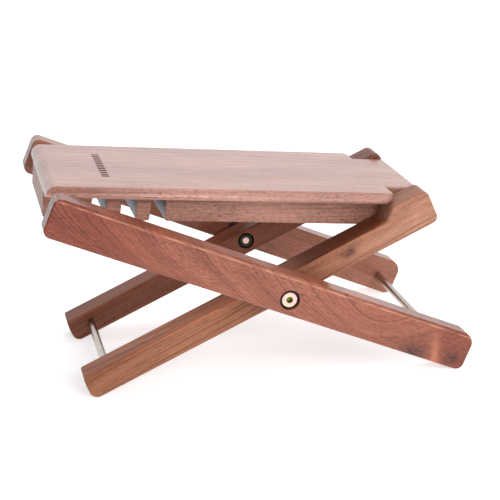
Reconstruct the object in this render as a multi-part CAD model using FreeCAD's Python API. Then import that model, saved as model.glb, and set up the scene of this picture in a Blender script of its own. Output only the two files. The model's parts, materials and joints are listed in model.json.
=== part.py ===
import FreeCAD, Part
import math
import os

# Folding wooden footrest: two pairs of crossed legs and a tread that is hinged to
# the inner pair and hooks onto a rod of the outer pair.
# Millimetres, +Z up. +X points to the tread's hinged end, -Y is the front pair of legs.
# Leg outlines are drawn about the scissor pivot: first number along the leg, second
# number across it. The tread's outlines are drawn about its hinge axis: first number
# along the tread, second number down from its top face.

V = FreeCAD.Vector

# ---- whole stand -----------------------------------------------------------
PIVOT_HEIGHT = 68.9        # scissor pivot above the floor
ROD_R = 3.0                # all four cross rods
WOOD_EASE = 1.3            # round-over on the long edges of the legs

# ---- outer legs ------------------------------------------------------------
OUTER_FACE_Y = 92.0
OUTER_THICK = 18.0
OUTER_HEAD = -181.4        # upper end, beyond the tread's free end
OUTER_FOOT = 147.5
OUTER_TOP = 17.3
OUTER_BOTTOM = -11.2
OUTER_HEAD_R = 5.5
OUTER_FOOT_R = 6.0
OUTER_TOE_R = 9.0
CATCH_ROD = (-160.5, 5.9)
OUTER_FOOT_ROD = (131.0, 1.6)
OUTER_ROD_DEPTH = 10.0

# ---- inner legs ------------------------------------------------------------
INNER_FACE_Y = 67.0
INNER_THICK = 22.0
INNER_FOOT = -156.4
INNER_HEAD = 126.5
INNER_TOP = 8.4
INNER_BOTTOM = -10.4
HEAD_TOP = 16.1            # the head stands proud of the bar
STEP_FOOT = 90.0
STEP_HEAD = 99.0
INNER_FOOT_R = 6.0
INNER_HEAD_R = 5.5
INNER_FOOT_ROD = (-138.6, -1.0)
INNER_ROD_DEPTH = 12.0
HINGE_ALONG = 109.0        # hinge axis from the scissor pivot, along the inner leg

# ---- tread -----------------------------------------------------------------
TREAD_THICK = 9.0
TREAD_HALF = 60.0
TONGUE_HALF = 42.0
TREAD_FREE_END = -264.6
TREAD_SHOULDER = -13.0
TONGUE_END = 12.2
TREAD_TOP_R = 1.6
TREAD_SIDE_UNDER_R = 3.5
TREAD_SHOULDER_UNDER_R = 6.0
FREE_END_TOP_R = 7.5
FREE_END_UNDER_R = 0.5
HINGE_DROP = 14.5          # hinge axis below the tread's top face

# ---- blocks under the tread ------------------------------------------------
NOTCHED_BOTTOM = 29.0      # below the tread's top face
NOTCHED_END = -20.3
NOTCHED_END_SLANT = 1.6
NOTCHED_END_R = 9.0
NOTCHED_FREE_R = 4.0
NOTCHED_EASE = 0.6
SLOT_COUNT = 4
SLOT_PITCH = 21.2
SLOT_WIDE = 10.2
SLOT_FLARE = 0.9           # the free-end wall leans out, so that the rod can swing clear
SLOT_ROOF = 12.8
SLOT_ROOF_R = 2.5
SLOT_MOUTH_R = 2.0
SEAT_GAP = 0.4             # between the seated catch rod and the slot's roof and wall
HINGE_BLOCK_FAR = 11.2
HINGE_BLOCK_HALF = 39.0    # set back from the notched block's sides
HINGE_BLOCK_BOTTOM = 26.0
HINGE_BLOCK_NEAR_R = 1.0
HINGE_BLOCK_FAR_R = 6.0

# ---- pivot hardware --------------------------------------------------------
BOLT_R = 3.0
RUN_GAP = 0.05             # running fit of a shaft in a sleeve, per side
BOLT_HEAD_R = 5.6
BOLT_HEAD_THICK = 2.4
BOLT_HEAD_DOME = 0.5
HEX_AF = 4.0
HEX_DEPTH = 2.0
HEAD_BORE_R = 7.4
HEAD_BORE_DEPTH = 4.2
HEAD_WASHER_R = 7.0
SLEEVE_R = 4.5
SPACER_R = 8.5
FACE_GAP = 0.1             # between flat faces that turn on each other
NUT_BORE_R = 6.6
NUT_BORE_DEPTH = 5.0
NUT_WASHER_R = 6.4
WASHER_THICK = 1.0
NUT_R = 5.4
NUT_THICK = 3.6
BOLT_TIP_CHAMFER = 0.5
BOLT_END_DEPTH = 0.6       # bolt end below the inner leg's inner face
HINGE_SLEEVE_LONG = 12.0
HINGE_BORE_R = 3.4

# ---- wood screws -----------------------------------------------------------
SCREW_R = 1.6
SCREW_HEAD_R = 3.2
SCREW_HEAD_THICK = 2.0
SCREW_BITE = 5.5           # length inside the tread
SCREW_HEAD_BORE_R = 3.5
SCREW_HEAD_DEPTH = 6.0
BLOCK_SCREWS_ALONG = (-160.0, -95.0, -35.0)
BLOCK_SCREW_SIDE = 30.0
END_SCREW_ALONG = -258.3   # in the wood between the last slot and the free end
END_SCREW_SIDE = 20.0
HINGE_SCREW_ALONG = -12.6
HINGE_SCREW_SIDE = 18.0


# ---- drawing helpers -------------------------------------------------------
def outline(corners):
    """Closed wire in the XZ plane from (x, z, corner radius) points."""
    starts, ends, arcs = [], [], []
    count = len(corners)
    for i, (x, z, radius) in enumerate(corners):
        here = V(x, 0, z)
        before = V(corners[i - 1][0], 0, corners[i - 1][1]) - here
        after = V(corners[(i + 1) % count][0], 0, corners[(i + 1) % count][1]) - here
        before.normalize()
        after.normalize()
        if radius == 0:
            starts.append(here)
            ends.append(here)
            arcs.append(None)
            continue
        half = before.getAngle(after) / 2
        reach = radius / math.tan(half)
        middle = before + after
        middle.normalize()
        start = here + before * reach
        end = here + after * reach
        bulge = here + middle * (radius / math.sin(half) - radius)
        starts.append(start)
        ends.append(end)
        arcs.append(Part.Arc(start, bulge, end).toShape())
    edges = []
    for i in range(count):
        if arcs[i]:
            edges.append(arcs[i])
        following = starts[(i + 1) % count]
        if (following - ends[i]).Length > 1e-6:
            edges.append(Part.makeLine(ends[i], following))
    return Part.Wire(edges)


def slab(corners, y_low, y_high):
    """Outline made solid between two Y values."""
    face = Part.Face(outline(corners))
    face.translate(V(0, y_low, 0))
    return face.extrude(V(0, y_high - y_low, 0))


def rod_y(radius, x, z, y_low, y_high):
    return Part.makeCylinder(radius, y_high - y_low, V(x, y_low, z), V(0, 1, 0))


def ease_sides(solid, radius):
    """Round the edges that bound a slab's two flat sides."""
    box = solid.BoundBox
    edges = [e for e in solid.Edges
             if min(abs(e.BoundBox.YMin - box.YMin) + abs(e.BoundBox.YMax - box.YMin),
                    abs(e.BoundBox.YMin - box.YMax) + abs(e.BoundBox.YMax - box.YMax)) < 0.01]
    return solid.makeFillet(radius, edges)


def circles(solid):
    return [e for e in solid.Edges if isinstance(e.Curve, Part.Circle)]


def ease_ends(cylinder, size):
    return cylinder.makeChamfer(size, circles(cylinder))


def ring(outer_r, inner_r, y_low, y_high, ease):
    body = ease_ends(rod_y(outer_r, 0, 0, y_low, y_high), ease)
    return body.cut(rod_y(inner_r, 0, 0, y_low, y_high))


def mirrored(shape):
    """The same piece on the other side of the middle plane."""
    return shape.mirror(V(0, 0, 0), V(0, 1, 0))


def tilted(degrees, x=0.0, z=0.0):
    """Frame turned about Y; a positive angle lowers its +X end."""
    return FreeCAD.Placement(V(x, 0, z), FreeCAD.Rotation(V(0, 1, 0), degrees))


def set_in(shape, frame):
    placed = shape.copy()
    placed.Placement = frame.multiply(placed.Placement)
    return placed


# ---- stance: both feet stand on the floor ----------------------------------
def leg_slope(foot_reach, bottom, foot_r):
    """Slope at which the rounded foot corner just touches the floor."""
    along = foot_reach - foot_r
    below = -(bottom + foot_r)
    return math.degrees(math.asin((PIVOT_HEIGHT - foot_r) / math.hypot(along, below))
                        - math.atan2(below, along))


OUTER_SLOPE = leg_slope(OUTER_FOOT, OUTER_BOTTOM, OUTER_FOOT_R)
INNER_SLOPE = leg_slope(-INNER_FOOT, INNER_BOTTOM, INNER_FOOT_R)
OUTER_FRAME = tilted(OUTER_SLOPE, z=PIVOT_HEIGHT)
INNER_FRAME = tilted(-INNER_SLOPE, z=PIVOT_HEIGHT)

# The tread's underside lies on the bars of the inner legs when all is folded flat.
HINGE_ACROSS = INNER_TOP - (HINGE_DROP - TREAD_THICK)
HINGE_POINT = INNER_FRAME.multVec(V(HINGE_ALONG, 0, HINGE_ACROSS))
CATCH_POINT = OUTER_FRAME.multVec(V(CATCH_ROD[0], 0, CATCH_ROD[1]))

# The last slot hooks over the catch rod, which sets the tread's slope.
CATCH_BELOW_HINGE = SLOT_ROOF + SEAT_GAP + ROD_R - HINGE_DROP
REACH = CATCH_POINT - HINGE_POINT
CATCH_ALONG = -math.sqrt(REACH.Length ** 2 - CATCH_BELOW_HINGE ** 2)
TREAD_SLOPE = math.degrees(math.atan2(REACH.z, -REACH.x)
                           + math.asin(CATCH_BELOW_HINGE / REACH.Length))
TREAD_FRAME = tilted(TREAD_SLOPE, HINGE_POINT.x, HINGE_POINT.z).multiply(
    FreeCAD.Placement(V(0, 0, HINGE_DROP), FreeCAD.Rotation()))

# The rod seats against the slot's wall on the hinge side.
LAST_SLOT = CATCH_ALONG + ROD_R + SEAT_GAP - SLOT_WIDE / 2
SLOTS = [LAST_SLOT + i * SLOT_PITCH for i in range(SLOT_COUNT)]


# ---- outer legs and their rods ---------------------------------------------
def outer_leg():
    inner_face = -OUTER_FACE_Y + OUTER_THICK
    leg = slab([(OUTER_HEAD, OUTER_BOTTOM, OUTER_HEAD_R),
                (OUTER_FOOT, OUTER_BOTTOM, OUTER_FOOT_R),
                (OUTER_FOOT, OUTER_TOP, OUTER_TOE_R),
                (OUTER_HEAD, OUTER_TOP, OUTER_HEAD_R)], -OUTER_FACE_Y, inner_face)
    leg = ease_sides(leg, WOOD_EASE)
    leg = leg.cut(rod_y(SLEEVE_R, 0, 0, -OUTER_FACE_Y, inner_face))
    leg = leg.cut(rod_y(HEAD_BORE_R, 0, 0, -OUTER_FACE_Y, -OUTER_FACE_Y + HEAD_BORE_DEPTH))
    for x, z in (CATCH_ROD, OUTER_FOOT_ROD):
        leg = leg.cut(rod_y(ROD_R, x, z, inner_face - OUTER_ROD_DEPTH, inner_face))
    return leg


def outer_rod(place):
    half = OUTER_FACE_Y - OUTER_THICK + OUTER_ROD_DEPTH
    return ease_ends(rod_y(ROD_R, place[0], place[1], -half, half), 0.5)


# ---- inner legs and their rods ---------------------------------------------
def inner_leg():
    inner_face = -INNER_FACE_Y + INNER_THICK
    leg = slab([(INNER_FOOT, INNER_BOTTOM, INNER_FOOT_R),
                (INNER_HEAD, INNER_BOTTOM, INNER_HEAD_R),
                (INNER_HEAD, HEAD_TOP, INNER_HEAD_R),
                (STEP_HEAD, HEAD_TOP, INNER_HEAD_R),
                (STEP_FOOT, INNER_TOP, 2.5),
                (INNER_FOOT + 1.0, INNER_TOP, 1.8),
                (INNER_FOOT, 0.0, 40.0)], -INNER_FACE_Y, inner_face)
    leg = ease_sides(leg, WOOD_EASE)
    leg = leg.cut(rod_y(BOLT_R, 0, 0, -INNER_FACE_Y, inner_face))
    leg = leg.cut(rod_y(NUT_BORE_R, 0, 0, inner_face - NUT_BORE_DEPTH, inner_face))
    for x, z in (INNER_FOOT_ROD, (HINGE_ALONG, HINGE_ACROSS)):
        leg = leg.cut(rod_y(ROD_R, x, z, inner_face - INNER_ROD_DEPTH, inner_face))
    return leg


def inner_rod(place):
    half = INNER_FACE_Y - INNER_THICK + INNER_ROD_DEPTH
    return ease_ends(rod_y(ROD_R, place[0], place[1], -half, half), 0.5)


# ---- scissor pivots --------------------------------------------------------
HEAD_SEAT = -OUTER_FACE_Y + HEAD_BORE_DEPTH - FACE_GAP   # face under the head washer
NUT_SEAT = -INNER_FACE_Y + INNER_THICK - NUT_BORE_DEPTH


def pivot_bolt():
    under_head = HEAD_SEAT - WASHER_THICK
    head_face = under_head - BOLT_HEAD_THICK
    head = rod_y(BOLT_HEAD_R, 0, 0, head_face, under_head)
    rim = [e for e in circles(head) if e.BoundBox.YMax < under_head - 0.1]
    head = head.makeFillet(BOLT_HEAD_DOME, rim)
    shank = rod_y(BOLT_R, 0, 0, under_head, NUT_SEAT + NUT_BORE_DEPTH - BOLT_END_DEPTH)
    tip = [e for e in circles(shank) if e.BoundBox.YMin > NUT_SEAT]
    shank = shank.makeChamfer(BOLT_TIP_CHAMFER, tip)
    corner_r = HEX_AF / math.sqrt(3)
    corners = [V(corner_r * math.cos(math.radians(60 * i)), head_face,
                 corner_r * math.sin(math.radians(60 * i))) for i in range(7)]
    socket = Part.Face(Part.makePolygon(corners)).extrude(V(0, HEX_DEPTH, 0))
    return head.fuse(shank).cut(socket).removeSplitter()


def head_washer():
    return ring(HEAD_WASHER_R, BOLT_R, HEAD_SEAT - WASHER_THICK, HEAD_SEAT, 0.2)


def pivot_sleeve():
    return ring(SLEEVE_R, BOLT_R + RUN_GAP, HEAD_SEAT + FACE_GAP, -OUTER_FACE_Y + OUTER_THICK, 0.2)


def leg_spacer():
    return ring(SPACER_R, BOLT_R + RUN_GAP, -OUTER_FACE_Y + OUTER_THICK, -INNER_FACE_Y - FACE_GAP, 0.4)


def nut_washer():
    return ring(NUT_WASHER_R, BOLT_R, NUT_SEAT, NUT_SEAT + WASHER_THICK, 0.2)


def lock_nut():
    return ring(NUT_R, BOLT_R, NUT_SEAT + WASHER_THICK, NUT_SEAT + WASHER_THICK + NUT_THICK, 0.6)


# ---- tread, blocks and what holds them --------------------------------------
def tread():
    plan = [V(TREAD_FREE_END, -TREAD_HALF, 0), V(TREAD_SHOULDER, -TREAD_HALF, 0),
            V(TREAD_SHOULDER, -TONGUE_HALF, 0), V(TONGUE_END, -TONGUE_HALF, 0),
            V(TONGUE_END, TONGUE_HALF, 0), V(TREAD_SHOULDER, TONGUE_HALF, 0),
            V(TREAD_SHOULDER, TREAD_HALF, 0), V(TREAD_FREE_END, TREAD_HALF, 0)]
    board = Part.Face(Part.makePolygon(plan + plan[:1])).extrude(V(0, 0, -TREAD_THICK))

    def lies(edge, axis, value):
        box = edge.BoundBox
        return abs(getattr(box, axis + "Min") - value) + abs(getattr(box, axis + "Max") - value) < 0.01

    shoulders = [e for e in board.Edges if lies(e, "Z", -TREAD_THICK) and lies(e, "X", TREAD_SHOULDER)]
    board = board.makeFillet(TREAD_SHOULDER_UNDER_R, shoulders)
    sides = [e for e in board.Edges if lies(e, "Z", -TREAD_THICK)
             and (lies(e, "Y", -TREAD_HALF) or lies(e, "Y", TREAD_HALF))]
    board = board.makeFillet(TREAD_SIDE_UNDER_R, sides)
    top = [e for e in board.Edges if lies(e, "Z", 0) and not lies(e, "X", TREAD_FREE_END)]
    board = board.makeFillet(TREAD_TOP_R, top)
    # The free end is round on top; beside the notched block it is round below as well.
    corners = [(TREAD_FREE_END, 0, FREE_END_TOP_R), (TONGUE_END, 0, 0), (TONGUE_END, -TREAD_THICK, 0)]
    middle = slab(corners + [(TREAD_FREE_END, -TREAD_THICK, 0)], -TONGUE_HALF, TONGUE_HALF)
    flange = slab(corners + [(TREAD_FREE_END, -TREAD_THICK, FREE_END_UNDER_R)], -TREAD_HALF, -TONGUE_HALF)
    keep = middle.fuse([flange, mirrored(flange)])
    board = board.common(keep).removeSplitter()
    return board.cut(screw_shanks(-TREAD_THICK - 1, -TREAD_THICK + SCREW_BITE))


def notched_block():
    low = -NOTCHED_BOTTOM
    corners = [(TREAD_FREE_END, -TREAD_THICK, 0), (TREAD_FREE_END, low, NOTCHED_FREE_R)]
    for centre in SLOTS:
        left = centre - SLOT_WIDE / 2
        right = centre + SLOT_WIDE / 2
        corners += [(left - SLOT_FLARE, low, SLOT_MOUTH_R), (left, -SLOT_ROOF, SLOT_ROOF_R),
                    (right, -SLOT_ROOF, SLOT_ROOF_R), (right, low, SLOT_MOUTH_R)]
    corners += [(NOTCHED_END - NOTCHED_END_SLANT, low, NOTCHED_END_R), (NOTCHED_END, -TREAD_THICK, 0)]
    block = slab(corners, -TONGUE_HALF, TONGUE_HALF)
    box = block.BoundBox
    rims = [e for e in block.Edges
            if (e.BoundBox.YMax < box.YMin + 0.01 or e.BoundBox.YMin > box.YMax - 0.01)
            and e.BoundBox.ZMin < -TREAD_THICK - 0.1]
    block = block.makeFillet(NOTCHED_EASE, rims)
    for group in ("block_screws", "end_screws"):
        for place in screw_places()[group]:
            block = block.cut(screw_hole(*place))
    return block


def hinge_block():
    corners = [(NOTCHED_END, -TREAD_THICK, 0),
               (NOTCHED_END, -HINGE_BLOCK_BOTTOM, HINGE_BLOCK_NEAR_R),
               (HINGE_BLOCK_FAR, -HINGE_BLOCK_BOTTOM, HINGE_BLOCK_FAR_R),
               (HINGE_BLOCK_FAR, -TREAD_THICK, 0)]
    block = slab(corners, -HINGE_BLOCK_HALF, HINGE_BLOCK_HALF)
    block = block.cut(rod_y(HINGE_BORE_R, 0, -HINGE_DROP, -HINGE_BLOCK_HALF, HINGE_BLOCK_HALF))
    for side in (-1, 1):
        low, high = sorted((side * TONGUE_HALF, side * (TONGUE_HALF - HINGE_SLEEVE_LONG)))
        block = block.cut(rod_y(SLEEVE_R, 0, -HINGE_DROP, low, high))
    for place in screw_places()["hinge_block_screws"]:
        block = block.cut(screw_hole(*place))
    return block


def hinge_sleeve():
    sleeve = ring(SLEEVE_R, ROD_R + RUN_GAP, -TONGUE_HALF, -TONGUE_HALF + HINGE_SLEEVE_LONG, 0.2)
    sleeve.translate(V(0, 0, -HINGE_DROP))
    return sleeve


def screw(along, side, bottom):
    """Wood screw from below: its head sits in a counterbore, its tip is in the tread."""
    head_low = -bottom + SCREW_HEAD_DEPTH
    tip = -TREAD_THICK + SCREW_BITE
    head = Part.makeCylinder(SCREW_HEAD_R, SCREW_HEAD_THICK, V(along, side, head_low), V(0, 0, 1))
    slot_cut = Part.makeBox(2 * SCREW_HEAD_R, 0.8, 0.8, V(along - SCREW_HEAD_R, side - 0.4, head_low))
    shank = Part.makeCylinder(SCREW_R, tip - head_low, V(along, side, head_low), V(0, 0, 1))
    return head.fuse(shank).cut(slot_cut).removeSplitter()


def screw_hole(along, side, bottom):
    head_top = -bottom + SCREW_HEAD_DEPTH + SCREW_HEAD_THICK
    bore = Part.makeCylinder(SCREW_HEAD_BORE_R, head_top + bottom, V(along, side, -bottom), V(0, 0, 1))
    shank = Part.makeCylinder(SCREW_R, bottom, V(along, side, -bottom), V(0, 0, 1))
    return bore.fuse(shank)


def screw_places():
    """Where each group's screws go: along the tread, to the side, and the bottom of the wood they enter."""
    def row(alongs, side, bottom):
        return [(along, sign * side, bottom) for along in alongs for sign in (-1, 1)]
    return {"block_screws": row(BLOCK_SCREWS_ALONG, BLOCK_SCREW_SIDE, NOTCHED_BOTTOM),
            "end_screws": row([END_SCREW_ALONG], END_SCREW_SIDE, NOTCHED_BOTTOM),
            "hinge_block_screws": row([HINGE_SCREW_ALONG], HINGE_SCREW_SIDE, HINGE_BLOCK_BOTTOM)}


def screw_shanks(low, high):
    holes = [Part.makeCylinder(SCREW_R, high - low, V(along, side, low), V(0, 0, 1))
             for group in screw_places().values() for along, side, bottom in group]
    return Part.makeCompound(holes)


# ---- assembly --------------------------------------------------------------
def pair(nodes, name, shape, frame):
    nodes[name + "_front"] = set_in(shape, frame)
    nodes[name + "_back"] = set_in(mirrored(shape), frame)


def build():
    nodes = {}
    pair(nodes, "outer_leg", outer_leg(), OUTER_FRAME)
    pair(nodes, "inner_leg", inner_leg(), INNER_FRAME)
    nodes["catch_rod"] = set_in(outer_rod(CATCH_ROD), OUTER_FRAME)
    nodes["outer_foot_rod"] = set_in(outer_rod(OUTER_FOOT_ROD), OUTER_FRAME)
    nodes["inner_foot_rod"] = set_in(inner_rod(INNER_FOOT_ROD), INNER_FRAME)
    nodes["hinge_rod"] = set_in(inner_rod((HINGE_ALONG, HINGE_ACROSS)), INNER_FRAME)
    for name, maker in (("pivot_bolt", pivot_bolt), ("head_washer", head_washer),
                        ("nut_washer", nut_washer), ("lock_nut", lock_nut)):
        pair(nodes, name, maker(), INNER_FRAME)
    for name, maker in (("pivot_sleeve", pivot_sleeve), ("leg_spacer", leg_spacer)):
        pair(nodes, name, maker(), OUTER_FRAME)
    nodes["tread"] = set_in(tread(), TREAD_FRAME)
    nodes["notched_block"] = set_in(notched_block(), TREAD_FRAME)
    nodes["hinge_block"] = set_in(hinge_block(), TREAD_FRAME)
    pair(nodes, "hinge_sleeve", hinge_sleeve(), TREAD_FRAME)
    for name, group in screw_places().items():
        nodes[name] = set_in(Part.makeCompound([screw(*place) for place in group]), TREAD_FRAME)
    return nodes


def main():
    nodes = build()
    box = Part.makeCompound(list(nodes.values())).optimalBoundingBox(False, False)
    to_origin = V(-(box.XMin + box.XMax) / 2, 0, 0)
    os.makedirs("parts", exist_ok=True)
    for name, shape in nodes.items():
        shape.translate(to_origin)
        shape.exportStep("parts/" + name + ".step")
        print(name, "valid", shape.isValid(), "solids", len(shape.Solids), "volume", round(shape.Volume, 1))
    print("slopes", round(OUTER_SLOPE, 3), round(INNER_SLOPE, 3), round(TREAD_SLOPE, 3))
    print("size", round(box.XLength, 2), round(box.YLength, 2), round(box.ZLength, 2))
    print("lowest", round(box.ZMin, 4))
    pivot = V(0, 0, PIVOT_HEIGHT) + to_origin
    print("scissor pivot", pivot, "hinge", HINGE_POINT + to_origin, "catch rod", CATCH_POINT + to_origin)
    print("slots along the tread", [round(s, 2) for s in SLOTS])


main()
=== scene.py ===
"""Folding wooden footrest: materials, floor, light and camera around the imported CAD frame."""

import json
from math import atan2, cos, degrees, pi, radians, sin

import bpy
from mathutils import Matrix, Vector


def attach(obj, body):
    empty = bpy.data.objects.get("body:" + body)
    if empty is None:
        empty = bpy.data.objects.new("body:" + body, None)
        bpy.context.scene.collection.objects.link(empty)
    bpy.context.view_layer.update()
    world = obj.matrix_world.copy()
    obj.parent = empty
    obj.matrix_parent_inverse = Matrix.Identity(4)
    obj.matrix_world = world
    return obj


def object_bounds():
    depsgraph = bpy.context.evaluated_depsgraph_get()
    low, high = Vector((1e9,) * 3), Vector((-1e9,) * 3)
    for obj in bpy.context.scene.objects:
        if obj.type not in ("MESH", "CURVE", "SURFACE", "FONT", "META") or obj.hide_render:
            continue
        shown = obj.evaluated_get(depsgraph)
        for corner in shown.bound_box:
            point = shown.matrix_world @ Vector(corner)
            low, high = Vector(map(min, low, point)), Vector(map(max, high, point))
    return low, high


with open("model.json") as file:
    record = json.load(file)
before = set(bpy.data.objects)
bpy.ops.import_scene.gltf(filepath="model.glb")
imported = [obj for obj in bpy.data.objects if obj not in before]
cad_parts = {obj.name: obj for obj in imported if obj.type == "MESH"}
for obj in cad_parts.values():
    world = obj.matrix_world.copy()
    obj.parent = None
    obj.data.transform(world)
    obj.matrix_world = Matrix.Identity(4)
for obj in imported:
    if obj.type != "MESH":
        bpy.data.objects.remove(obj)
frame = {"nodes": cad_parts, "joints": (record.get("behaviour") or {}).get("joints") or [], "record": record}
cad_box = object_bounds()

JOINTS = {joint["name"]: Vector(joint["pos_m"]) for joint in frame["joints"]}
PIVOT = JOINTS["scissor_fold"]
HINGE = JOINTS["tread_lift"]

TREAD_MOUNT = frame["record"]["mounts"][0]
TREAD_TOP = Vector(TREAD_MOUNT["pos_m"])
TREAD_NORMAL = Vector(TREAD_MOUNT["axis"])
TREAD_ALONG = Vector((TREAD_NORMAL.z, 0.0, -TREAD_NORMAL.x))

# Turns about +Y that lay each wooden piece's length along +X, in degrees
OUTER_TURN = -24.27
INNER_TURN = 23.04
TREAD_TURN = -degrees(atan2(TREAD_NORMAL.x, TREAD_NORMAL.z))

MM = 1000.0  # millimetres in a metre
WHITE = (1.0, 1.0, 1.0, 1.0)

# The Mix node's sockets when it mixes colours
MIX_AMOUNT, MIX_FIRST, MIX_SECOND, MIX_RESULT = 0, 6, 7, 2


def linear(red, green, blue):
    """A colour given as sRGB values from 0 to 255, as Blender's linear colour."""
    def channel(value):
        value /= 255.0
        return value / 12.92 if value <= 0.04045 else ((value + 0.055) / 1.055) ** 2.4
    return (channel(red), channel(green), channel(blue), 1.0)


class Shader:
    """A material's nodes, with short calls to add and join them."""

    def __init__(self, name):
        self.material = bpy.data.materials.new(name)
        self.material.use_nodes = True
        self.nodes = self.material.node_tree.nodes
        self.links = self.material.node_tree.links
        self.surface = self.nodes["Principled BSDF"]

    def add(self, kind, inputs=(), **settings):
        """A new node; inputs pairs a socket's name or number with a value or another socket."""
        node = self.nodes.new(kind)
        for key, value in settings.items():
            setattr(node, key, value)
        for key, value in dict(inputs).items():
            self.feed(node.inputs[key], value)
        return node

    def feed(self, socket, value):
        if isinstance(value, bpy.types.NodeSocket):
            self.links.new(value, socket)
        else:
            socket.default_value = value

    def set(self, **values):
        """Sockets of the surface, with _ for a space."""
        for key, value in values.items():
            self.feed(self.surface.inputs[key.replace("_", " ")], value)

    def math(self, operation, first, second=0.0, third=0.0, clamp=False):
        inputs = {0: first, 1: second, 2: third}
        node = self.add("ShaderNodeMath", inputs, operation=operation, use_clamp=clamp)
        return node.outputs[0]

    def times(self, first, *others):
        """The product of the values."""
        for other in others:
            first = self.math("MULTIPLY", first, other)
        return first

    def squared(self, value, centre, scale):
        """The square of value's distance from centre, scaled first."""
        part = self.times(self.math("SUBTRACT", value, centre), scale)
        return self.times(part, part)

    def bell(self, square):
        """1 where square is 0, falling off smoothly as it grows."""
        return self.math("EXPONENT", self.times(square, -1.0))

    def ramp(self, value, low, high, to_low=0.0, to_high=1.0):
        """value eased from to_low at low to to_high at high."""
        inputs = {"Value": value, "From Min": low, "From Max": high,
                  "To Min": to_low, "To Max": to_high}
        node = self.add("ShaderNodeMapRange", inputs, interpolation_type="SMOOTHSTEP")
        return node.outputs[0]

    def mix(self, amount, first, second, blend="MIX"):
        inputs = {MIX_AMOUNT: amount, MIX_FIRST: first, MIX_SECOND: second}
        node = self.add("ShaderNodeMix", inputs, data_type="RGBA", blend_type=blend)
        return node.outputs[MIX_RESULT]

    def dyed(self, amount, colour, tint):
        """colour multiplied by tint where amount is 1."""
        return self.mix(amount, colour, self.mix(1.0, colour, tint + (1.0,), "MULTIPLY"))

    def vector(self, x, y=0.0, z=0.0):
        return self.add("ShaderNodeCombineXYZ", {0: x, 1: y, 2: z}).outputs[0]

    def split(self, vector):
        return self.add("ShaderNodeSeparateXYZ", {0: vector}).outputs

    def scaled(self, vector, scale, shift=(0.0, 0.0, 0.0)):
        inputs = {"Vector": vector, "Scale": scale, "Location": shift}
        return self.add("ShaderNodeMapping", inputs).outputs[0]

    def noise(self, vector, detail=2.0, rough=0.5):
        inputs = {"Vector": vector, "Scale": 1.0, "Detail": detail, "Roughness": rough}
        return self.add("ShaderNodeTexNoise", inputs).outputs["Fac"]

    def along_piece(self, turn=0.0, centre=PIVOT):
        """Millimetres along the piece, across it and through it, counted from centre."""
        angle = radians(turn)
        inputs = {"Vector": self.add("ShaderNodeTexCoord").outputs["Object"],
                  "Scale": (MM, MM, MM), "Rotation": (0.0, angle, 0.0),
                  "Location": Matrix.Rotation(angle, 3, "Y") @ centre * -MM}
        return self.add("ShaderNodeMapping", inputs).outputs[0]

    def end_on(self, turn):
        """1 on faces across the piece's length, 0 on faces beside it."""
        inputs = {"Vector": self.add("ShaderNodeTexCoord").outputs["Normal"],
                  "Angle": radians(turn)}
        turned = self.add("ShaderNodeVectorRotate", inputs, rotation_type="Y_AXIS").outputs[0]
        return self.math("ABSOLUTE", self.split(turned)[0])

    def bump(self, height, strength, distance):
        inputs = {"Height": height, "Strength": strength, "Distance": distance}
        self.set(Normal=self.add("ShaderNodeBump", inputs).outputs[0])


# ---------------------------------------------------------------- wood
# How fast each texture of the wood changes per mm along, across and through the piece
WAVE = (0.006, 0.02, 0.02)
RIPPLE = (0.03, 0.07, 0.07)
CLOUD = (0.018, 0.04, 0.05)
FIBRE = (0.05, 0.8, 0.8)
PORES = (0.28, 1.3, 1.3)
PORE_PATCHES = (0.02, 0.05, 0.05)
MOTTLE = (0.3, 0.5, 0.5)

# How many rings the grain is pushed by
WAVE_PUSH = 6.0
RIPPLE_PUSH = 0.9
KNOT_PUSH = 2.6

BAND_DEPTH = 0.6
KNOT_COLOUR = linear(58, 34, 34)


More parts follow.
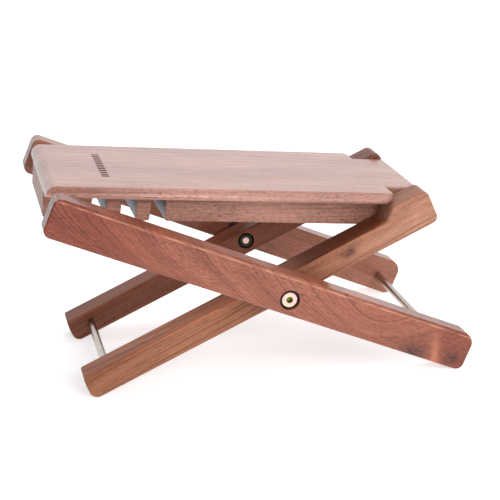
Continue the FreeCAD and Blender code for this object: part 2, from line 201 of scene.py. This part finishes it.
def wood(name, turn, centre, pale, deep, line, *, seed, heart, slant, area, sway, ring_depth,
         tick_depth, coat, round_off=40.0, tick_from=0.54, smooth_above=None, mottle_depth=0.08,
         knots=(), tone_and_painted_light=None, gloss=0.18, rough=0.4, shine=0.5):
    """Walnut, lacquered where coat is above 0.

    The rings run beside heart, a place in mm along, across and through the piece. They lean by
    slant against its length, and turn round heart within round_off mm of it. area sets how
    close they lie, and sway how far they wander. knots are (along, through, radius, strength).
    Above smooth_above the pores are nearly filled. A repainting function, if given, may change the colour
    with the piece's own tone and with painted light or shade.
    """
    s = Shader(name)
    place = s.along_piece(turn, centre)
    shift = (seed * 37.0, seed * 19.0, seed * 53.0)
    x, y, z = s.split(place)

    def texture(scale, detail, roughness=0.5):
        return s.noise(s.scaled(place, scale, shift), detail, roughness)

    # slow waves bend the rings, and each knot pushes them aside
    reach = s.math("SQRT", s.math("ADD", s.squared(x, heart[0], 1.0), round_off * round_off))
    rings = s.math("MULTIPLY_ADD", reach, slant, s.squared(z, heart[2], 1.0))
    rings = s.math("DIVIDE", s.math("ADD", rings, s.squared(y, heart[1], 0.5)), area)
    rings = s.math("MULTIPLY_ADD", texture(WAVE, 1.5, 0.45), WAVE_PUSH * sway, rings)
    rings = s.math("MULTIPLY_ADD", texture(RIPPLE, 2.0), RIPPLE_PUSH * sway, rings)
    knot_shade = None
    for along, level, radius, strength in knots:
        far = s.math("ADD", s.squared(x, along, 0.7 / radius), s.squared(z, level, 1.0 / radius))
        near = s.bell(far)
        rings = s.math("MULTIPLY_ADD", near, KNOT_PUSH, rings)
        shade = s.times(near, strength)
        knot_shade = shade if knot_shade is None else s.math("MAXIMUM", knot_shade, shade)

    # late wood: a thin dark line at each ring's outer edge, some rings stronger than others
    phase = s.math("FRACT", rings)
    uneven = s.noise(s.vector(rings, s.times(x, 0.008), seed), 1.0)
    cloud = texture(CLOUD, 2.0)
    late = s.times(s.ramp(phase, 0.35, 0.86), s.ramp(phase, 1.0, 0.9),
                   s.ramp(uneven, 0.3, 0.72), s.ramp(cloud, 0.35, 0.65, 1.0, 0.55))

    # broad bands of colour run with the rings
    flow = s.vector(s.times(rings, 0.23), s.times(x, 0.006), seed + 4.0)
    band = s.ramp(s.noise(flow, 2.5, 0.6), 0.34, 0.68)

    # fibres, a fine mottle, and open pores seen as short dark ticks, more in some patches
    fibre = texture(FIBRE, 4.0, 0.65)
    mottle = texture(MOTTLE, 3.0, 0.7)
    tick = s.times(s.ramp(texture(PORES, 2.0), tick_from, tick_from + 0.12),
                   s.ramp(texture(PORE_PATCHES, 1.0), 0.3, 0.6, 0.3, 1.0))
    if smooth_above is not None:
        tick = s.times(tick, s.ramp(z, smooth_above, smooth_above - 1.2, 0.25, 1.0))

    light = s.times(s.ramp(fibre, 0.25, 0.75, 1.14, 0.84), s.ramp(cloud, 0.3, 0.7, 1.06, 0.93),
                    s.ramp(mottle, 0.3, 0.7, 1.0 + mottle_depth, 1.0 - mottle_depth))
    grey = s.add("ShaderNodeCombineColor", {0: light, 1: light, 2: light}).outputs[0]
    colour = s.mix(s.times(band, BAND_DEPTH), pale, deep)
    colour = s.mix(s.times(late, ring_depth), colour, line)
    colour = s.mix(1.0, colour, grey, "MULTIPLY")
    colour = s.mix(s.times(tick, tick_depth), colour, line)
    if knot_shade is not None:
        broken = s.math("MULTIPLY", knot_shade, s.ramp(mottle, 0.25, 0.7, 0.5, 1.2), clamp=True)
        colour = s.mix(broken, colour, KNOT_COLOUR)

    # sawn ends drink more finish and look darker
    end_on = s.end_on(turn)
    colour = s.mix(s.ramp(end_on, 0.8, 1.0, 0.0, 0.3), colour, line)
    # repainted with the piece's own tone and with painted light or shade
    if tone_and_painted_light is not None:
        colour = tone_and_painted_light(s, colour, x, z, end_on)

    s.set(Base_Color=colour, Roughness=s.math("MULTIPLY_ADD", fibre, 0.16, rough - 0.08),
          Coat_Weight=coat, Coat_Roughness=gloss, IOR=1.45, Specular_IOR_Level=shine)
    s.bump(s.math("MULTIPLY_ADD", tick, -0.8, s.times(fibre, 0.5)), 0.3, 0.0002)
    return s.material


# Each of these functions repaints one piece's colour, with its own tone and with painted light or shade.
# It gets the mm along the piece and through it, and end_on, which is 1 on faces across the grain.
SLOTS_MIDDLE = -214.0  # mm from the hinge
SLOTS_REACH = 44.0
STREAK_ALONG = 120.0
STREAK_LEAN = 0.35
# height in mm of the painted highlight along the outer leg's upper edge
HIGHLIGHT_LEVEL = 15.1


def painted_slot_reflection_and_shade(s, colour, x, z, end_on):
    """Slot walls painted grey-blue as a painted reflection of the bright surroundings, with painted shade
    darkest under the roof, and colour darker towards the hinge.
    """
    colour = s.dyed(s.ramp(x, -110.0, -20.0), colour, (0.84, 0.78, 0.76))
    from_middle = s.math("ABSOLUTE", s.math("SUBTRACT", x, SLOTS_MIDDLE))
    # the slot walls, where the painted reflection and painted shade go
    wall = s.times(s.ramp(end_on, 0.5, 0.8), s.math("LESS_THAN", from_middle, SLOTS_REACH))
    # painted reflection, pale grey-blue low in the slot, turning to painted shade, near black, under the
    # roof
    grey = s.mix(s.ramp(z, -13.0, 1.0), linear(108, 113, 132), linear(20, 22, 32))
    return s.mix(s.times(wall, 0.9), colour, grey)


def red_ends(s, colour, x, z, end_on):
    """Redder wood towards both ends, a bright streak between the knots, and a painted highlight along the
    upper edge.
    """
    red = s.math("MAXIMUM", s.ramp(x, -50.0, -165.0), s.ramp(x, 92.0, 146.0, 0.0, 0.75))
    colour = s.dyed(red, colour, (0.7, 0.46, 0.4))
    drift = s.math("MULTIPLY_ADD", z, STREAK_LEAN, x)
    streak = s.bell(s.squared(drift, STREAK_ALONG, 0.3))
    streak = s.times(streak, s.ramp(z, 16.0, -6.0, 0.1, 0.55))
    colour = s.mix(streak, colour, linear(200, 124, 92))
    # painted highlight: a patchy pale line along the eased upper edge, where the lacquer catches the light
    patchy = s.ramp(s.noise(s.vector(s.times(x, 0.05))), 0.35, 0.6)
    painted_edge_highlight = s.times(s.bell(s.squared(z, HIGHLIGHT_LEVEL, 1.9)), patchy, 0.6)
    return s.mix(painted_edge_highlight, colour, linear(222, 160, 128))


def pale_head(s, colour, x, z, end_on):
    """Lighter towards the head; on the top face, painted light towards the foot and painted shade, deep
    brown, under the tread.
    """
    colour = s.dyed(s.ramp(x, 15.0, 105.0), colour, (1.34, 1.6, 1.9))
    top_edge = s.ramp(z, 6.8, 8.0)
    # painted light: the top face made lighter towards the foot
    colour = s.dyed(s.times(top_edge, s.ramp(x, 0.0, -40.0)), colour, (1.62, 1.44, 1.3))
    # painted shade: the top face darkened to deep brown under the tread
    shaded = s.times(top_edge, s.ramp(x, 5.0, 30.0), s.ramp(x, 96.0, 84.0))
    return s.dyed(shaded, colour, (0.46, 0.3, 0.2))


def pale_edge(s, colour, x, z, end_on):
    """Painted light on the lower half of the board, as from the pale floor below, fading out towards the
    hinge.
    """
    # painted light: the lower half of the board's side made paler
    painted_floor_light = s.times(s.ramp(z, 11.2, 9.2), s.ramp(x, -40.0, -150.0, 0.15, 1.0))
    return s.dyed(painted_floor_light, colour, (1.36, 1.5, 1.54))


def paint(material, *nodes):
    """These CAD nodes are shown in the material."""
    for node in nodes:
        slots = frame["nodes"][node].data.materials
        if not slots:
            slots.append(material)
        for slot in frame["nodes"][node].material_slots:
            slot.link = "OBJECT"
            slot.material = material


def both(stem):
    """The names of a front and back pair of CAD nodes."""
    return (stem + "_front", stem + "_back")


OUTER_LINE = linear(56, 26, 22)
INNER_LINE = linear(60, 32, 30)
TREAD_LINE = linear(72, 42, 38)
LACQUER = dict(coat=0.22, gloss=0.1, rough=0.36, shine=0.35)
INNER_GRAIN = dict(slant=4.0, area=330.0, sway=0.28, tick_depth=0.25, tone_and_painted_light=pale_head,
                   coat=0.0, shine=0.16)
TOP_PORES = dict(tick_depth=0.5, tick_from=0.52)

paint(wood("outer_leg_walnut_front", OUTER_TURN, PIVOT,
           linear(160, 97, 75), linear(130, 69, 50), OUTER_LINE,
           seed=1.0, heart=(66.0, -80.0, 30.0), slant=29.0, area=160.0, round_off=16.0,
           sway=0.5, ring_depth=0.58, tick_depth=0.4, mottle_depth=0.12,
           knots=((105.0, -9.0, 7.0, 0.85), (136.0, -3.0, 6.0, 0.75)),
           tone_and_painted_light=red_ends, **LACQUER),
      "outer_leg_front")
paint(wood("outer_leg_walnut_back", OUTER_TURN, PIVOT,
           linear(157, 101, 80), linear(128, 75, 58), OUTER_LINE,
           seed=2.3, heart=(-70.0, 80.0, -24.0), slant=8.0, area=230.0,
           sway=0.4, ring_depth=0.4, tick_depth=0.3, mottle_depth=0.1, **LACQUER),
      "outer_leg_back")
paint(wood("inner_leg_walnut_front", INNER_TURN, PIVOT,
           linear(159, 107, 80), linear(127, 75, 54), INNER_LINE,
           seed=3.1, heart=(200.0, 20.0, -60.0), ring_depth=0.66,
           knots=((56.0, 1.0, 4.0, 0.75),), **INNER_GRAIN),
      "inner_leg_front")
# painted shade: the back inner leg has darker colours than the front one, for the shade under the tread
paint(wood("inner_leg_walnut_back_shaded", INNER_TURN, PIVOT,
           linear(126, 78, 60), linear(94, 52, 40), INNER_LINE,
           seed=4.7, heart=(-180.0, -20.0, 60.0), ring_depth=0.55, **INNER_GRAIN),
      "inner_leg_back")
paint(wood("tread_walnut", TREAD_TURN, HINGE,
           linear(180, 131, 117), linear(154, 104, 91), TREAD_LINE,
           seed=5.9, heart=(300.0, 150.0, -55.0), slant=3.0, area=560.0, sway=0.16,
           ring_depth=0.36, mottle_depth=0.1, smooth_above=14.3, tone_and_painted_light=pale_edge,
           coat=0.35, rough=0.36, **TOP_PORES),
      "tread")
# the block's slot walls carry a painted reflection and painted shade
paint(wood("block_walnut", TREAD_TURN, HINGE,
           linear(182, 137, 122), linear(156, 109, 95), TREAD_LINE,
           seed=7.3, heart=(-500.0, 70.0, 60.0), slant=5.0, area=420.0, sway=0.6,
           ring_depth=0.45, mottle_depth=0.12, tone_and_painted_light=painted_slot_reflection_and_shade,
           coat=0.0, shine=0.2, **TOP_PORES),
      "notched_block", "hinge_block")


# ---------------------------------------------------------------- metal and plastic
# Fine lines that run with X, or with Y as on a drawn rod
LINES_ALONG_X = (0.05, 3.0, 3.0)
LINES_ALONG_Y = (3.0, 0.05, 3.0)
METAL_WEAR = 0.12
SOCKET_RADIUS = 2.5  # mm
HEADS_BEYOND = 80.0  # mm from the middle of the stand


def metal(name, colour, rough, lines=LINES_ALONG_X):
    """Turned or drawn metal with fine lines and a little uneven polish."""
    s = Shader(name)
    place = s.along_piece()
    lines = s.noise(s.scaled(place, lines), 3.0)
    smudge = s.noise(s.scaled(place, (0.15, 0.15, 0.15)), 3.0)
    worn = s.math("MULTIPLY_ADD", s.ramp(smudge, 0.35, 0.7), METAL_WEAR,
                  s.times(lines, METAL_WEAR))
    darker = tuple(channel * 0.55 for channel in colour[:3]) + (1.0,)
    s.set(Base_Color=s.mix(worn, colour, darker), Metallic=1.0,
          Roughness=s.math("MULTIPLY_ADD", smudge, 0.12, rough - 0.04))
    s.bump(lines, 0.08, 0.0001)
    return s.material


def passivated_zinc(name):
    """The yellow and pink film of passivated zinc, with painted shade, dark olive, inside the hex socket."""
    s = Shader(name)
    place = s.along_piece()
    x, y, z = s.split(place)
    turned = s.noise(s.scaled(place, (1.5, 1.5, 1.5)), 3.0)
    film = s.noise(s.scaled(place, (0.14, 0.14, 0.14), (3.1, 0.4, 1.7)), 1.5)
    colour = s.mix(s.ramp(film, 0.36, 0.5), linear(246, 226, 176), linear(240, 200, 196))
    colour = s.mix(s.times(turned, 0.25), colour, linear(178, 150, 110))
    # painted shade inside the hex socket of the heads beyond the legs
    radius = s.math("SQRT", s.math("ADD", s.times(x, x), s.times(z, z)))
    socket = s.times(s.ramp(radius, SOCKET_RADIUS + 0.2, SOCKET_RADIUS - 0.2),
                     s.math("GREATER_THAN", s.math("ABSOLUTE", y), HEADS_BEYOND))
    socket_shade = s.mix(s.ramp(turned, 0.4, 0.6), linear(52, 66, 26), linear(150, 148, 60))
    s.set(Base_Color=s.mix(socket, colour, socket_shade), Metallic=0.85,
          Roughness=s.math("MULTIPLY_ADD", turned, 0.14, 0.3))
    s.bump(turned, 0.1, 0.0001)
    return s.material


def plastic(name, colour, rough):
    """Moulded nylon or blackened washer stock with a fine, slightly uneven skin."""
    s = Shader(name)
    place = s.along_piece()
    grain = s.noise(s.scaled(place, (2.2, 2.2, 2.2)), 3.0)
    cloud = s.noise(s.scaled(place, (0.2, 0.2, 0.2)))
    paler = tuple(min(1.0, channel * 2.0 + 0.01) for channel in colour[:3]) + (1.0,)
    s.set(Base_Color=s.mix(s.times(cloud, 0.6), colour, paler), Specular_IOR_Level=0.35,
          Roughness=s.math("MULTIPLY_ADD", grain, 0.2, rough - 0.1))
    s.bump(grain, 0.15, 0.0001)
    return s.material


paint(metal("satin_steel", linear(180, 171, 163), 0.24, LINES_ALONG_Y),
      "catch_rod", "outer_foot_rod", "inner_foot_rod", "hinge_rod")
paint(passivated_zinc("gold_zinc"), *both("pivot_bolt"))
paint(metal("brass", linear(206, 170, 104), 0.32), *both("pivot_sleeve"), *both("hinge_sleeve"))
paint(metal("screw_zinc", linear(176, 172, 166), 0.35),
      "block_screws", "end_screws", "hinge_block_screws")
paint(plastic("black_washer", linear(16, 15, 15), 0.34),
      *both("head_washer"), *both("nut_washer"), *both("lock_nut"))
paint(plastic("black_nylon", linear(22, 21, 22), 0.5), *both("leg_spacer"))


# ---------------------------------------------------------------- burned bars on the tread
BAR_COUNT = 13
BAR_PITCH = 5.0 / MM
BAR_WIDE = 2.5 / MM
BAR_LONG = 5.4 / MM
BAR_PROUD = 0.06 / MM
BAR_SUNK = 0.05 / MM
BAR_EASE = 0.25 / MM
BARS_FROM_HINGE = -220.0 / MM


def charred(name):
    """Scorched wood: matt, uneven brown-black."""
    s = Shader(name)
    place = s.along_piece(TREAD_TURN, HINGE)
    scorch = s.noise(s.scaled(place, (0.9, 1.4, 1.4)), 4.0, 0.6)
    fibre = s.noise(s.scaled(place, (0.2, 2.5, 2.5)))
    s.set(Base_Color=s.mix(s.ramp(scorch, 0.35, 0.65), linear(48, 22, 20), linear(86, 50, 44)),
          Roughness=s.math("MULTIPLY_ADD", fibre, 0.2, 0.7), Specular_IOR_Level=0.1)
    s.bump(fibre, 0.3, 0.0001)
    return s.material


def add_object(name, corners, faces, material):
    mesh = bpy.data.meshes.new(name)
    mesh.from_pydata(corners, [], faces)
    mesh.materials.append(material)
    piece = bpy.data.objects.new(name, mesh)
    bpy.context.scene.collection.objects.link(piece)
    return piece


def burned_bars():
    """A row of equal short bars across the tread near its free end."""
    foot = HINGE + TREAD_ALONG * BARS_FROM_HINGE
    foot += TREAD_NORMAL * (TREAD_TOP - foot).dot(TREAD_NORMAL)
    corners = []
    faces = []
    for i in range(BAR_COUNT):
        middle = foot + Vector((0.0, (i - (BAR_COUNT - 1) / 2) * BAR_PITCH, 0.0))
        first = len(corners)
        for height, inset in ((-BAR_SUNK, 0.0), (BAR_PROUD / 2, 0.0), (BAR_PROUD, BAR_EASE)):
            long = BAR_LONG / 2 - inset
            wide = BAR_WIDE / 2 - inset
            level = middle + TREAD_NORMAL * height
            for along, across in ((-long, -wide), (long, -wide), (long, wide), (-long, wide)):
                corners.append(level + TREAD_ALONG * along + Vector((0.0, across, 0.0)))
        faces.append([first + 3, first + 2, first + 1, first])
        for lower in (first, first + 4):
            for k in range(4):
                after = (k + 1) % 4
                faces.append([lower + k, lower + after, lower + 4 + after, lower + 4 + k])
        faces.append([first + 8, first + 9, first + 10, first + 11])
    bars = add_object("burned_bars", corners, faces, charred("charred_walnut"))
    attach(bars, "top")


burned_bars()


# ---------------------------------------------------------------- floor and light
FLOOR_HALF = 60.0
FLOOR_GLOW = 0.6
WORLD_STRENGTH = 0.24
CENTRE = (cad_box[0] + cad_box[1]) / 2


def floor():
    """A pale floor under the feet that reaches past the view on every side."""
    s = Shader("pale_floor")
    s.set(Base_Color=linear(228, 228, 230), Roughness=0.9, Specular_IOR_Level=0.1,
          Emission_Color=WHITE, Emission_Strength=FLOOR_GLOW)
    corners = [(x * FLOOR_HALF, y * FLOOR_HALF, cad_box[0].z)
               for x, y in ((-1, -1), (1, -1), (1, 1), (-1, 1))]
    ground = add_object("floor", corners, [(0, 1, 2, 3)], s.material)


def softbox(name, place, aim, width, height, radiance, mirrored=True):
    """A rectangular light at place, facing aim; radiance is how bright its face is."""
    data = bpy.data.lights.new(name, "AREA")
    data.shape = "RECTANGLE"
    data.size = width
    data.size_y = height
    data.energy = radiance * pi * width * height
    lamp = bpy.data.objects.new(name, data)
    lamp.location = place
    lamp.rotation_euler = (Vector(aim) - Vector(place)).to_track_quat("-Z", "Y").to_euler()
    lamp.visible_camera = False
    lamp.visible_glossy = mirrored
    bpy.context.scene.collection.objects.link(lamp)


floor()
softbox("backdrop_panel", (0.0, 3.5, 1.25), (0.0, 0.0, 1.25), width=7.0, height=2.4, radiance=1.15)
softbox("top_softbox", (0.3, 0.4, 2.2), CENTRE, width=1.4, height=1.4, radiance=4.2)
softbox("key_softbox", (0.35, -1.05, 0.62), CENTRE, width=1.0, height=0.7, radiance=5.15,
        mirrored=False)

world = bpy.data.worlds.new("studio")
world.use_nodes = True
world.node_tree.nodes["Background"].inputs["Color"].default_value = WHITE
world.node_tree.nodes["Background"].inputs["Strength"].default_value = WORLD_STRENGTH
bpy.context.scene.world = world


# ---------------------------------------------------------------- camera
CAMERA_FROM_PIVOT = Vector((-0.22717, -0.97197, 0.35189))
CAMERA_YAW = radians(-12.754)
CAMERA_PITCH = radians(19.044)
CAMERA_ROLL = radians(-1.452)
SENSOR_WIDTH = 36.0
LENS = 99.32


def add_camera():
    """A camera turned by the yaw about +Z, pitched down and rolled about its own axis."""
    data = bpy.data.cameras.new("camera")
    data.sensor_width = SENSOR_WIDTH
    data.lens = LENS
    data.clip_start = 0.05
    data.clip_end = 200.0
    right = Vector((cos(CAMERA_YAW), sin(CAMERA_YAW), 0.0))
    ahead = Vector((-sin(CAMERA_YAW) * cos(CAMERA_PITCH), cos(CAMERA_YAW) * cos(CAMERA_PITCH),
                    -sin(CAMERA_PITCH)))
    above = right.cross(ahead)
    side = right * cos(CAMERA_ROLL) + above * sin(CAMERA_ROLL)
    upward = above * cos(CAMERA_ROLL) - right * sin(CAMERA_ROLL)
    turn = Matrix((side, upward, -ahead)).transposed().to_4x4()
    camera = bpy.data.objects.new("camera", data)
    bpy.context.scene.collection.objects.link(camera)
    camera.matrix_world = Matrix.Translation(PIVOT + CAMERA_FROM_PIVOT) @ turn
    return camera


bpy.context.scene.camera = add_camera()
bpy.context.scene.view_settings.view_transform = "Standard"
